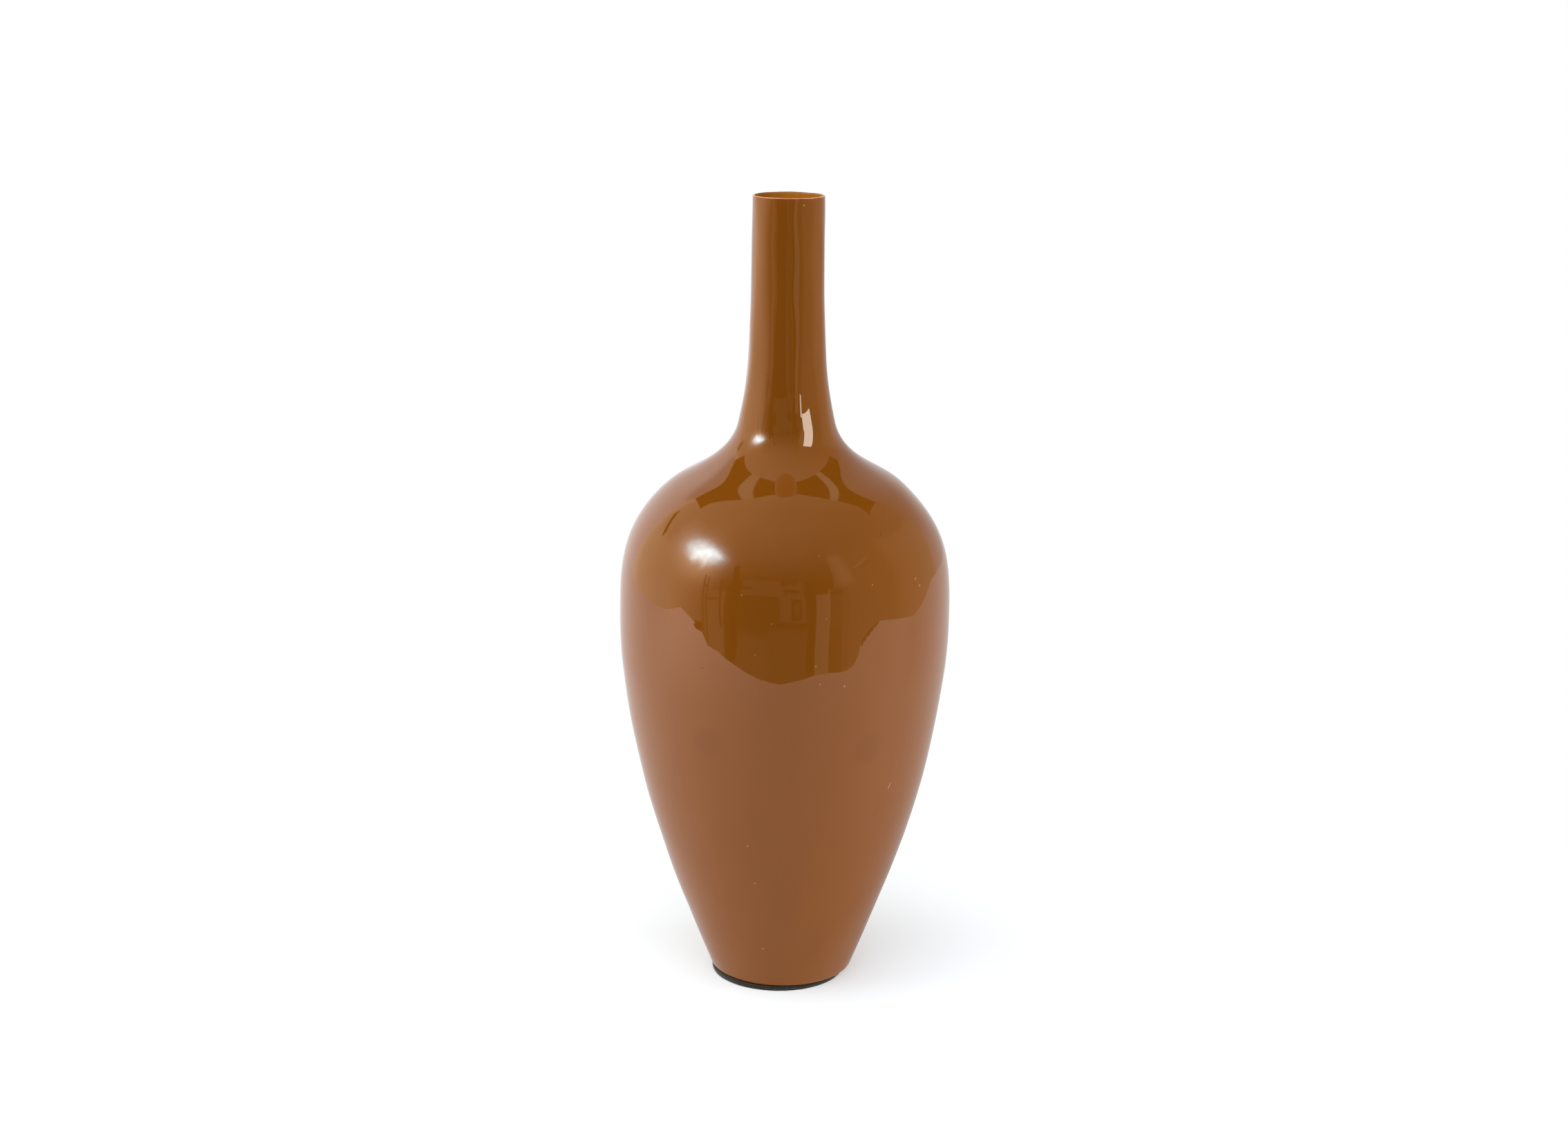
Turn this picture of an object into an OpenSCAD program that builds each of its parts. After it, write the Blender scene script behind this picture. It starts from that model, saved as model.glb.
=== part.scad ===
// Bottle vase of thin sheet steel, enamelled brown all over, standing on a felt pad.
// Four turned shells meet edge to edge at three weld seams. Each weld bead fills the gap
// between two shells and is ground flush outside. Inside the body the beads stand proud as
// rounded ridges, and in the neck the bead is dressed flush with the bore.
// A shell's outline is one or two cubic curves between short straight lands at its seams.
// Z = 0 is the underside of the pad, and the Z axis is the axis of the shells.
// A lean is an angle from the vertical, going up the outline, positive where it widens.

/* [Lower shell] */
// Diameter of the flat underside inside the rounded corner
foot_flat_d = 69.5; // [50:0.5:90]
// Inside radius of the corner between the underside and the wall
foot_inner_round = 1.0; // [0.4:0.1:4]
// Lean of the wall where it leaves the foot corner
foot_lean = 21.5; // [12:0.5:28]
// Height of the shell from its underside to the belly seam
lower_h = 166.1; // [130:0.1:190]
// How far the belly seam lies inside the vase's widest ring, on the radius
belly_seam_inset = 0.7; // [0.2:0.1:6]
// Lean of the lower shell at the belly seam
belly_lean_below = 6.5; // [2:0.5:12]

/* [Shoulder shell] */
// Lean of the shoulder shell at the belly seam
belly_lean_above = 3.5; // [1:0.5:10]
// Greatest diameter of the vase
belly_d = 165.9; // [140:0.1:200]
// Height of the widest ring above the belly seam
crest_rise = 22.5; // [14:0.5:40]
// Height of the shell from the belly seam to the shoulder seam
shoulder_h = 89.5; // [70:0.5:120]
// Diameter at the shoulder seam
shoulder_seam_d = 115.8; // [95:0.2:135]
// Lean of the shoulder shell at the shoulder seam
shoulder_lean_below = -47; // [-60:1:-35]

/* [Neck flare] */
// Lean of the flare at the shoulder seam
shoulder_lean_above = -56; // [-66:1:-45]
// Height of the flare's waist, where the tight bend ends, above the shoulder seam
waist_rise = 30.4; // [24:0.2:40]
// Diameter at the waist
waist_d = 48.0; // [42:0.2:60]
// Lean at the waist
waist_lean = -13; // [-20:0.5:-8]
// Height of the flare from the shoulder seam to the neck seam
flare_h = 92; // [75:0.5:120]
// Diameter at the neck seam
neck_seam_d = 36.0; // [35.5:0.1:41]
// Lean of the flare at the neck seam
neck_lean_below = -2.4; // [-6:0.1:0]

/* [Neck tube] */
// Height of the tube from the neck seam to the lip
tube_h = 50; // [20:1:120]
// Outer diameter at the lip
mouth_d = 35.3; // [34:0.1:35.9]
// Wall at the lip, which sets the diameter of the straight bore
lip_t = 0.9; // [0.6:0.1:1.6]

/* [Sheet and welds] */
// Thickness of the sheet with its enamel
sheet_t = 1.0; // [0.6:0.1:1.6]
// Gap between two shells that the weld fills
weld_gap = 1.2; // [0.6:0.1:3]
// How far a bead laps over each shell's inner face, where the shell runs straight
bead_lap = 1.6; // [0.8:0.1:4]
// Height of the bead's ridge above the shells' inner faces
bead_rise = 0.6; // [0.2:0.1:1.2]

/* [Foot pad] */
// Diameter of the felt pad
pad_d = 67.5; // [40:0.5:69]
// Thickness of the felt pad
pad_t = 2.0; // [1:0.1:5]
// Thickness of the adhesive film that holds the pad
film_t = 0.4; // [0.1:0.05:1]
// How far the film's edge stays inside the pad's edge
film_inset = 0.8; // [0:0.1:3]
// How far the pad sits off the axis towards the left
pad_shift_left = 1.4; // [0:0.1:3]
// How far the pad sits off the axis towards the front
pad_shift_front = 2.1; // [0:0.1:3]

/* [Hidden] */

// Length of each curve's two handles, as shares of the straight line between its ends
lower_handle_shares = [0.34, 0.41];
belly_handle_shares = [0.50, 0.14];
shoulder_handle_shares = [0.35, 0.46];
bend_handle_shares = [0.29, 0.39];
neck_handle_shares = [0.34, 0.52];
// Radius of the lip's two rounded corners as a share of its wall
lip_round_share = 0.35;
// Least depth of the neck's bead over the flare's edge
least_bead_cover = 0.15;

// Straight steps in each curve, corner and bead, and around the axis
curve_steps = 22;
corner_steps = 6;
bead_steps = 8;
turn_steps = 180;

// Levels of the seams above the surface that the vase stands on
base_z = pad_t + film_t;
belly_seam_z = base_z + lower_h;
shoulder_seam_z = belly_seam_z + shoulder_h;
neck_seam_z = shoulder_seam_z + flare_h;
lip_z = neck_seam_z + tube_h;
bore_r = mouth_d / 2 - lip_t;
lip_round = lip_t * lip_round_share;
foot_round = foot_inner_round + sheet_t;

// Direction up an outline at a lean, and the direction square to it into the vase
function along(lean) = [sin(lean), cos(lean)];
function inward(lean) = [-cos(lean), sin(lean)];

// A seam is the corner where two outlines would meet, with the lean below and above it
belly_seam = [[belly_d / 2 - belly_seam_inset, belly_seam_z], belly_lean_below, belly_lean_above];
shoulder_seam = [[shoulder_seam_d / 2, shoulder_seam_z], shoulder_lean_below, shoulder_lean_above];
tube_lean = atan2((mouth_d - neck_seam_d) / 2, tube_h);
neck_seam = [[neck_seam_d / 2, neck_seam_z], neck_lean_below, tube_lean];
crest = [belly_d / 2, belly_seam_z + crest_rise];
waist = [waist_d / 2, shoulder_seam_z + waist_rise];

// Edge of the shell below or above a seam, half the weld's gap away from the corner
function edge_below(seam) = seam[0] - weld_gap / 2 * along(seam[1]);
function edge_above(seam) = seam[0] + weld_gap / 2 * along(seam[2]);
// End of the straight land of the shell below or above a seam
function land_below(seam) = edge_below(seam) - bead_lap * along(seam[1]);
function land_above(seam) = edge_above(seam) + bead_lap * along(seam[2]);

// Points of a cubic curve between two places with their leans, moved inward by a depth
function curve(from, from_lean, to, to_lean, handle_shares, depth) =
    let (
        reach = norm(to - from),
        a = from + reach * handle_shares[0] * along(from_lean),
        b = to - reach * handle_shares[1] * along(to_lean)
    )
    [for (i = [0:curve_steps])
        let (
            t = i / curve_steps,
            u = 1 - t,
            place = u * u * u * from + 3 * u * u * t * a + 3 * u * t * t * b + t * t * t * to,
            way = u * u * (a - from) + 2 * u * t * (b - a) + t * t * (to - b)
        )
        place + depth / norm(way) * [-way[1], way[0]]];

// Points of an arc about a centre, from one angle to another
function arc(centre, radius, from_angle, to_angle, steps) =
    [for (i = [0:steps])
        let (angle = from_angle + (to_angle - from_angle) * i / steps)
        centre + radius * [cos(angle), sin(angle)]];

function reversed(points) = [for (i = [len(points) - 1:-1:0]) points[i]];

// Foot corner and wall of the lower shell, moved inward by a depth
function lower_line(depth) =
    let (
        centre = [foot_flat_d / 2, base_z + foot_round],
        wall_start = centre + foot_round * -inward(foot_lean)
    )
    concat(
        [[0, base_z + depth]],
        arc(centre, foot_round - depth, -90, -foot_lean, corner_steps),
        curve(wall_start, foot_lean, land_below(belly_seam), belly_lean_below,
            lower_handle_shares, depth),
        [edge_below(belly_seam) + depth * inward(belly_lean_below)]);

// Shoulder shell from the belly seam over the widest ring to the shoulder seam
function shoulder_line(depth) = concat(
    [edge_above(belly_seam) + depth * inward(belly_lean_above)],
    curve(land_above(belly_seam), belly_lean_above, crest, 0, belly_handle_shares, depth),
    curve(crest, 0, land_below(shoulder_seam), shoulder_lean_below,
        shoulder_handle_shares, depth),
    [edge_below(shoulder_seam) + depth * inward(shoulder_lean_below)]);

// Flare from the shoulder seam round its tight bend and up to the neck seam
function flare_line(depth) = concat(
    [edge_above(shoulder_seam) + depth * inward(shoulder_lean_above)],
    curve(land_above(shoulder_seam), shoulder_lean_above, waist, waist_lean,
        bend_handle_shares, depth),
    curve(waist, waist_lean, land_below(neck_seam), neck_lean_below,
        neck_handle_shares, depth),
    [edge_below(neck_seam) + depth * inward(neck_lean_below)]);

// Section of the neck tube: tapered outside, straight inside, with a rounded lip
function tube_section() = concat(
    [edge_above(neck_seam)],
    arc([mouth_d / 2 - lip_round, lip_z - lip_round], lip_round, 0, 90, corner_steps),
    arc([bore_r + lip_round, lip_z - lip_round], lip_round, 90, 180, corner_steps),
    [[bore_r, edge_above(neck_seam)[1]]]);

// Inner corner of the shell's edge below or above a seam
function inner_below(seam) = edge_below(seam) + sheet_t * inward(seam[1]);
function inner_above(seam) = edge_above(seam) + sheet_t * inward(seam[2]);

// Section of a bead between two shells of sheet: it fills the gap, laps over both inner
// faces and rises between the laps in a rounded ridge
function ridged_bead(seam) =
    let (
        lap_below = inner_below(seam) - bead_lap * along(seam[1]),
        lap_above = inner_above(seam) + bead_lap * along(seam[2]),
        middle = (inner_below(seam) + inner_above(seam)) / 2,
        peak = middle + 2 * bead_rise * inward((seam[1] + seam[2]) / 2)
    )
    concat(
        [inner_below(seam), edge_below(seam), edge_above(seam), inner_above(seam)],
        [for (i = [0:bead_steps])
            let (t = i / bead_steps, u = 1 - t)
            u * u * lap_above + 2 * u * t * peak + t * t * lap_below]);

// Section of the neck's bead: dressed flush with the bore, it tapers off down the flare.
// Over a sheet that stands as far in as the bore, the bead keeps its least cover.
function flush_bead(seam) =
    let (face_r = min(bore_r, inner_below(seam)[0] - least_bead_cover))
    [inner_below(seam) - bead_lap * along(seam[1]),
        inner_below(seam),
        edge_below(seam),
        edge_above(seam),
        [face_r, edge_above(seam)[1]]];

// Ring or shell turned about the Z axis from its section
module turned(section) rotate_extrude($fn = turn_steps) polygon(section);

// Lower half of the body, spun with its bottom in one piece
module lower_shell() color([0.50, 0.29, 0.12])
    turned(concat(lower_line(0), reversed(lower_line(sheet_t))));

// Widest part of the body and the shoulder over it
module shoulder_shell() color([0.48, 0.27, 0.10])
    turned(concat(shoulder_line(0), reversed(shoulder_line(sheet_t))));

// Trumpet that draws the shoulder in to the neck
module neck_flare() color([0.50, 0.29, 0.12])
    turned(concat(flare_line(0), reversed(flare_line(sheet_t))));

// Straight neck with the mouth
module neck_tube() color([0.48, 0.27, 0.10]) turned(tube_section());

module belly_weld() color([0.42, 0.24, 0.10]) turned(ridged_bead(belly_seam));

module shoulder_weld() color([0.42, 0.24, 0.10]) turned(ridged_bead(shoulder_seam));

module neck_weld() color([0.42, 0.24, 0.10]) turned(flush_bead(neck_seam));

// Disc of the pad's outline, drawn in by an inset, between two levels
module pad_disc(inset, from_z, thickness)
    translate([-pad_shift_left, -pad_shift_front, from_z])
        cylinder(h = thickness, r = pad_d / 2 - inset, $fn = turn_steps);

// Film between the pad and the flat underside
module pad_adhesive() color([0.06, 0.06, 0.07]) pad_disc(film_inset, pad_t, film_t);

// Felt pad, stuck on a little off centre
module foot_pad() color([0.20, 0.20, 0.21]) pad_disc(0, 0, pad_t);

lower_shell();
shoulder_shell();
neck_flare();
neck_tube();
belly_weld();
shoulder_weld();
neck_weld();
pad_adhesive();
foot_pad();
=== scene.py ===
"""Bottle vase of enamelled sheet steel on a felt pad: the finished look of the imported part.

The vase is written in millimetres, with the named values of the part's source, and the studio
in metres. Z = 0 is the underside of the pad, Z is the vase's axis, and the camera sees -Y.
"""
import math
import random
from functools import partialmethod

import bpy
import numpy as np
from mathutils import Matrix, Vector


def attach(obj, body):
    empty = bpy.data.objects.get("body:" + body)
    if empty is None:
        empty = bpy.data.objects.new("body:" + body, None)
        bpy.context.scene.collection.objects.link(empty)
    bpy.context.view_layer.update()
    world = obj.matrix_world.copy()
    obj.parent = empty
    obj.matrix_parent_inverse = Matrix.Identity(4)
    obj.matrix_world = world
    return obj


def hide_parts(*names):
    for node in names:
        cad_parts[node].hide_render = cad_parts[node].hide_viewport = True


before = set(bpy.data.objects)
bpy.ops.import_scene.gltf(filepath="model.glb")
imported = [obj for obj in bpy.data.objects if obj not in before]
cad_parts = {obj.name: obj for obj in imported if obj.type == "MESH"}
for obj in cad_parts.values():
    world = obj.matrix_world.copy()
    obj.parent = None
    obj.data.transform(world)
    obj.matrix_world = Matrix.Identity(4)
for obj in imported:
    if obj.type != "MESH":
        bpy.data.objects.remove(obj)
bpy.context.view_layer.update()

MM = 0.001
SEED = 7
UP = np.array([0.0, 0.0, 1.0])
TINY = 1e-12
# Highest random phase
PHASES = 6.28

# Values of the source
PAD_T = 2.0
FILM_T = 0.4
BASE_Z = PAD_T + FILM_T
SHEET_T = 1.0
FOOT_FLAT_R = 34.75
FOOT_ROUND = 2.0
FOOT_LEAN = 21.5
WELD_GAP = 1.2
BEAD_LAP = 1.6
BEAD_RISE = 0.6
LAND = WELD_GAP / 2 + BEAD_LAP
# A seam is its corner, as radius and height, and the lean below and above it
BELLY_SEAM = ((82.25, 168.5), 6.5, 3.5)
SHOULDER_SEAM = ((57.9, 258.0), -47.0, -56.0)
NECK_SEAM = ((18.0, 350.0), -2.4, -0.4)
# The widest place, and the one that ends the flare's bend, each with its lean
CREST = ((82.95, 191.0), 0.0)
WAIST = ((24.0, 288.4), -13.0)
MOUTH_R = 17.65
LIP_Z = 400.0
LIP_T = 0.9
LIP_ROUND = 0.315
BORE_R = MOUTH_R - LIP_T
LOWER_HANDLES = (0.34, 0.41)
BELLY_HANDLES = (0.50, 0.14)
SHOULDER_HANDLES = (0.35, 0.46)
BEND_HANDLES = (0.29, 0.39)
NECK_HANDLES = (0.34, 0.52)
PAD_R = 33.75
PAD_CENTRE = (-1.4, -2.1)
FILM_R = 32.95

# Fineness of the meshes
TURNS = 256
OUTER_STEP = 1.2
INNER_STEP = 3.0
FINE_STEP = 0.1
CURVE_POINTS = 200
CORNER_POINTS = 24
# Each ground seam and how widely it is eased
EASED = ((BELLY_SEAM, 4.0), (SHOULDER_SEAM, 3.5), (NECK_SEAM, 3.0))
EASE_REACH = 2.5


def unit(vectors):
    """The same directions with length 1."""
    return vectors / np.maximum(np.linalg.norm(vectors, axis=-1, keepdims=True), TINY)


def along(lean):
    """Direction up an outline at a lean in degrees from the vertical."""
    a = math.radians(lean)
    return np.array([math.sin(a), math.cos(a)])


def inward(lean):
    """Direction into the vase, square to an outline at a lean."""
    return along(lean - 90)


def land(seam, side):
    """End of a seam's straight land on its side 1, below, or 2, above, and the lean there."""
    reach = -LAND if side == 1 else LAND
    return np.array(seam[0]) + reach * along(seam[side]), seam[side]


def cubic(first, last, handles):
    """Points of a cubic curve between two places, each with its lean."""
    start, end = np.array(first[0]), np.array(last[0])
    reach = np.linalg.norm(end - start)
    a = start + reach * handles[0] * along(first[1])
    b = end - reach * handles[1] * along(last[1])
    t = np.linspace(0, 1, CURVE_POINTS)[:, None]
    u = 1 - t
    return u**3 * start + 3 * u * u * t * a + 3 * u * t * t * b + t**3 * end


def lengths(points):
    """Distance along a line of points up to each of them."""
    return np.r_[0, np.cumsum(np.hypot(*np.diff(points, axis=0).T))]


def between(at, known_at, known):
    """Pairs of values at the places asked for, from pairs at known places."""
    return np.stack([np.interp(at, known_at, values) for values in known.T], 1)


def smoothed(values, sigma):
    """Running mean with a bell curve's weights, in steps of the line."""
    reach = int(3 * sigma)
    weights = np.exp(-0.5 * (np.arange(-reach, reach + 1) / sigma) ** 2)
    padded = np.pad(values, reach, mode="reflect", reflect_type="odd")
    return np.convolve(padded, weights / weights.sum(), "valid")


def outline():
    """Outer line from the edge of the flat underside to the lip, with the ground seams eased."""
    centre = np.array([FOOT_FLAT_R, BASE_Z + FOOT_ROUND])
    turn = np.radians(np.linspace(-90, -FOOT_LEAN, CORNER_POINTS))
    corner = centre + FOOT_ROUND * np.c_[np.cos(turn), np.sin(turn)]
    line = np.vstack([
        corner,
        cubic((corner[-1], FOOT_LEAN), land(BELLY_SEAM, 1), LOWER_HANDLES)[1:],
        [BELLY_SEAM[0]],
        cubic(land(BELLY_SEAM, 2), CREST, BELLY_HANDLES),
        cubic(CREST, land(SHOULDER_SEAM, 1), SHOULDER_HANDLES)[1:],
        [SHOULDER_SEAM[0]],
        cubic(land(SHOULDER_SEAM, 2), WAIST, BEND_HANDLES),
        cubic(WAIST, land(NECK_SEAM, 1), NECK_HANDLES)[1:],
        [NECK_SEAM[0], (MOUTH_R, LIP_Z - LIP_ROUND)],
    ])
    at = np.arange(0, lengths(line)[-1], FINE_STEP)
    line = between(at, lengths(line), line)
    eased = line.copy()
    for seam, sigma in EASED:
        soft = np.stack([smoothed(values, sigma / FINE_STEP) for values in line.T], 1)
        middle = at[np.argmin(abs(line[:, 1] - seam[0][1]))]
        share = np.exp(-(((at - middle) / (EASE_REACH * sigma)) ** 4))[:, None]
        eased = eased * (1 - share) + soft * share
    return eased


# Hand-made unevenness
def wave_set(rng, count, longest, shortest, turns):
    """Waves over length and angle, as (wavelength, turns, two phases)."""
    waves = []
    for _ in range(count):
        span = longest * (shortest / longest) ** rng.random()
        waves.append((span, rng.randint(0, turns), rng.uniform(0, PHASES), rng.uniform(0, PHASES)))
    return waves


WAVES = wave_set(random.Random(SEED), count=26, longest=150.0, shortest=14.0, turns=9)
WAVE_SLOPE = 0.00042
SPIN_PITCH = 2.9
SPIN_HEIGHT = 0.0005
SPIN_WANDER = 0.4


def unevenness(s):
    """How far the spun and enamelled wall stands off its true shape, in millimetres."""
    s = s[:, None]
    total = SPIN_HEIGHT * np.sin(2 * math.pi * s / SPIN_PITCH + SPIN_WANDER * np.sin(2 * THETA))
    for span, turns, first, second in WAVES:
        swing = np.cos(2 * math.pi * s / span + first)
        total = total + WAVE_SLOPE * span * swing * np.cos(turns * THETA + second)
    return total


# Meshes
THETA = np.arange(TURNS) * 2 * math.pi / TURNS


def turned(line):
    """Grid of points, or of directions, from a line of (radius, height) turned about the axis."""
    r, z = line[:, 0, None], line[:, 1, None]
    return np.stack([r * np.cos(THETA), r * np.sin(THETA), z + 0 * THETA], -1)


def round_waves(waves):
    """Sum of waves round the axis, each with its height, turns and phase."""
    return sum(height * np.cos(turns * THETA + phase) for height, turns, phase in waves)


def grid_normals(grid):
    """Outward normals of a grid whose rows go up the outside, from its own neighbours."""
    round_way = np.roll(grid, -1, axis=1) - np.roll(grid, 1, axis=1)
    return unit(np.cross(round_way, np.gradient(grid, axis=0)))


def closed_shell(strips, poles=False):
    """Points, polygons, corner normals and material numbers of strips of rings that close.

    A strip is (grid, normals, material number). Each strip starts on the last ring of the one
    before it, and the last ends on the first ring, or with poles both ends close in a point on
    their own middle.
    """
    rings, faces, normals, slots = [], [], [], []
    j = np.arange(TURNS)
    k = (j + 1) % TURNS
    for grid, way, slot in strips:
        first = max(0, len(rings) - 1)
        rings.extend(grid[1:] if rings else grid)
        for i in range(len(grid) - 1):
            a = (first + i) * TURNS
            b = a + TURNS
            faces.append(np.c_[a + j, a + k, b + k, b + j])
            normals.append(np.stack([way[i][j], way[i][k], way[i + 1][k], way[i + 1][j]], 1))
            slots += [slot] * TURNS
    if not poles:
        del rings[-1]
        faces[-1] %= len(rings) * TURNS
    points = np.vstack(rings)
    polygons = np.vstack(faces).tolist()
    if poles:
        top = len(points) - TURNS
        for base, row, (grid, way, slot), p, q in ((0, 0, strips[0], k, j), (top, -1, strips[-1], j, k)):
            polygons += np.c_[np.full(TURNS, len(points)), base + p, base + q].tolist()
            points = np.vstack([points, grid[row].mean(0)])
            middle = np.tile(unit(way[row].mean(0)), (TURNS, 1))
            normals.append(np.stack([middle, way[row][p], way[row][q]], 1))
            slots += [slot] * TURNS
    return points, polygons, [n for part in normals for n in part.reshape(-1, 3).tolist()], slots


def shell_mesh(name, strips, poles=False):
    points, polygons, normals, slots = closed_shell(strips, poles)
    mesh = plain_mesh(name, points, polygons)
    mesh.polygons.foreach_set("material_index", slots)
    mesh.normals_split_custom_set(normals)
    return mesh


def plain_mesh(name, points, polygons):
    """Smooth mesh from points in millimetres."""
    mesh = bpy.data.meshes.new(name)
    mesh.from_pydata((points * MM).tolist(), [], polygons)
    mesh.polygons.foreach_set("use_smooth", [True] * len(mesh.polygons))
    mesh.update()
    return mesh


def placed(name, data):
    obj = bpy.data.objects.new(name, data)
    bpy.context.scene.collection.objects.link(obj)
    return obj


def piece(mesh, materials, slot, *nodes):
    """Object of the vase that stands for CAD nodes and takes the materials given; its slot is not used."""
    obj = placed(mesh.name, mesh)
    for material in materials:
        obj.data.materials.append(material)
    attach(obj, "root")
    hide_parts(*nodes)
    return obj


def band(grid, slot=0):
    """Strip of a grid with its own normals."""
    return grid, grid_normals(grid), slot


# The four shells
OUTLINE = outline()
OUTLINE_S = lengths(OUTLINE)
OUTLINE_WAY = unit(np.gradient(OUTLINE, axis=0))
OUTLINE_N = np.c_[OUTLINE_WAY[:, 1], -OUTLINE_WAY[:, 0]]
# Length of the foot's corner and its rings
CORNER_LENGTH = 3.0
CORNER_RINGS = 8
# Over these lengths the unevenness fades at the foot and at the lip
FOOT_FADE = 12.0
LIP_FADE = 6.0
# The lip's ripple, as height, turns and phase of each wave, and how far down it reaches
LIP_WAVES = ((0.05, 3, 1.0), (0.04, 7, 2.2), (0.015, 17, 0.0), (0.008, 31, 0.7))
LIP_DROP = 0.06
LIP_RIPPLE = round_waves(LIP_WAVES) - LIP_DROP
RIPPLE_DEPTH = 8.0
LIP_POINTS = 13
# Bottom: rings under the dish, rings inside, and the dish's height
UNDER_R = 33.0
UNDER_RINGS = (6.0, 14.0, 22.0, 29.0, UNDER_R)
INSIDE_RINGS = (34.4, 30.0, 22.0, 14.0, 6.0)
DISH = 0.25
# Bore: depths of its first rings, where its even rings start, and their number
BORE_DEPTHS = (0.8, 1.6, 3.2)
BORE_START = 6.0
BORE_RINGS = 20


def at_height(z):
    """Distance along the outline at a height."""
    return OUTLINE_S[np.argmin(abs(OUTLINE[:, 1] - z))]


def seam_places():
    return [at_height(seam[0][1]) for seam in (BELLY_SEAM, SHOULDER_SEAM, NECK_SEAM)]


def skin_rings():
    """Distances along the outline of the outer rings, and the ring numbers of the seams."""
    corner = np.linspace(0, CORNER_LENGTH, CORNER_RINGS)
    stations, seams = [corner[:-1]], []
    start = corner[-1]
    for mark in seam_places() + [OUTLINE_S[-1]]:
        steps = round((mark - start) / OUTER_STEP)
        stations.append(np.linspace(start, mark, steps, endpoint=False))
        seams.append(sum(map(len, stations)))
        start = mark
    stations.append([start])
    return np.hstack(stations), seams


def outer_skin():
    """The whole outer surface as one grid, with its normals and the ring numbers of its seams."""
    s, seams = skin_rings()
    line = between(s, OUTLINE_S, OUTLINE)
    fade = np.clip(s / FOOT_FADE, 0, 1)[:, None] * np.clip((s[-1] - s) / LIP_FADE, 0, 1)[:, None]
    off = unevenness(s) * fade
    grid = turned(line) + off[..., None] * turned(between(s, OUTLINE_S, OUTLINE_N))
    near_lip = np.clip((line[:, 1] - (LIP_Z - RIPPLE_DEPTH)) / RIPPLE_DEPTH, 0, 1)[:, None] ** 3
    grid[..., 2] += near_lip * LIP_RIPPLE
    return grid, grid_normals(grid), seams


def inner_line(low_s, high_s):
    """Line inside the sheet between two places on the outline, from the top down."""
    steps = round((high_s - low_s) / INNER_STEP)
    s = np.linspace(high_s, low_s, steps + 1)
    return between(s, OUTLINE_S, OUTLINE) - SHEET_T * between(s, OUTLINE_S, OUTLINE_N)


def outside(skin, low, high):
    """Strip of the skin between two of its rings."""
    return skin[0][low:high + 1], skin[1][low:high + 1], 0


def wall(name, skin, low, high, inner, materials, node):
    """Shell between two rings of the skin, with its inner face and its two edges."""
    grid = skin[0]
    inside = turned(inner)
    top = np.stack([grid[high], inside[0]])
    bottom = np.stack([inside[-1], grid[low]])
    mesh = shell_mesh(name, [outside(skin, low, high), band(top), band(inside, 1), band(bottom)])
    return piece(mesh, materials, "enamel", node)


def lower_wall(skin, materials):
    """Lower half of the body with its bottom, which is slightly dished in the middle."""
    grid, _, seams = skin
    radii = np.array(UNDER_RINGS)
    flat = turned(np.c_[radii, BASE_Z + DISH * (1 - (radii / UNDER_R) ** 2)])
    under = np.vstack([flat, grid[:1]])
    line = inner_line(at_height(BASE_Z + FOOT_ROUND + 1), at_height(BELLY_SEAM[0][1]))
    floor = np.array([[r, BASE_Z + SHEET_T] for r in INSIDE_RINGS])
    inside = turned(np.vstack([line, floor]))
    edge = np.stack([grid[seams[0]], inside[0]])
    strips = [band(under), outside(skin, 0, seams[0]), band(edge), band(inside, 1)]
    mesh = shell_mesh("body_lower_wall", strips, poles=True)
    return piece(mesh, materials, "enamel", "lower_shell")


def neck_wall(skin, materials):
    """Neck tube: tapered outside, straight inside, with the rounded and uneven lip."""
    grid, _, (_, _, low, high) = skin
    turn = np.radians(np.linspace(0, 180, LIP_POINTS))
    middle = np.where(turn < math.pi / 2, MOUTH_R - LIP_ROUND, BORE_R + LIP_ROUND)
    middle[LIP_POINTS // 2] = MOUTH_R - LIP_T / 2
    lip_grid = turned(np.c_[middle, np.full(LIP_POINTS, LIP_Z - LIP_ROUND)]
                      + LIP_ROUND * np.c_[np.cos(turn), np.sin(turn)])
    lip_grid[..., 2] += LIP_RIPPLE
    lip_grid[0] = grid[high]
    even = np.linspace(LIP_Z - BORE_START, NECK_SEAM[0][1], BORE_RINGS)
    heights = np.r_[LIP_Z - np.array(BORE_DEPTHS), even]
    bore = np.c_[np.full(len(heights), BORE_R), heights]
    inside = np.vstack([lip_grid[-1:], turned(bore)])
    bottom = np.stack([inside[-1], grid[low]])
    strips = [outside(skin, low, high), band(lip_grid), band(inside, 1), band(bottom)]
    mesh = shell_mesh("neck_tube_wall", strips)
    return piece(mesh, materials, "enamel", "neck_tube")


def shells(*materials):
    """The four enamelled shells. Their outer faces are cut from one skin, so no seam shows."""
    skin = outer_skin()
    low, middle, high, _ = skin[2]
    belly, shoulder, neck = seam_places()
    lower_wall(skin, materials)
    inside = inner_line(belly, shoulder)
    wall("body_shoulder_wall", skin, low, middle, inside, materials, "shoulder_shell")
    inside = inner_line(shoulder, neck)
    flare = wall("neck_flare_wall", skin, middle, high, inside, materials, "neck_flare")
    neck_wall(skin, materials)
    return flare


# Weld beads
RIPPLE_PITCH = 2.2
RIPPLE_RISE = 0.16
# Share of a ripple over which it rises, and how unevenly the ripples are spaced
RISING = 0.75
RIPPLE_DRIFT = 2.5
CROWN_RISE = 0.9 * BEAD_RISE
BEAD_ROOT = 0.25
# Crown and ripple of a bead that is dressed flush
DRESSED_CROWN = 0.02
DRESSED_RIPPLE = 0.04


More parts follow.
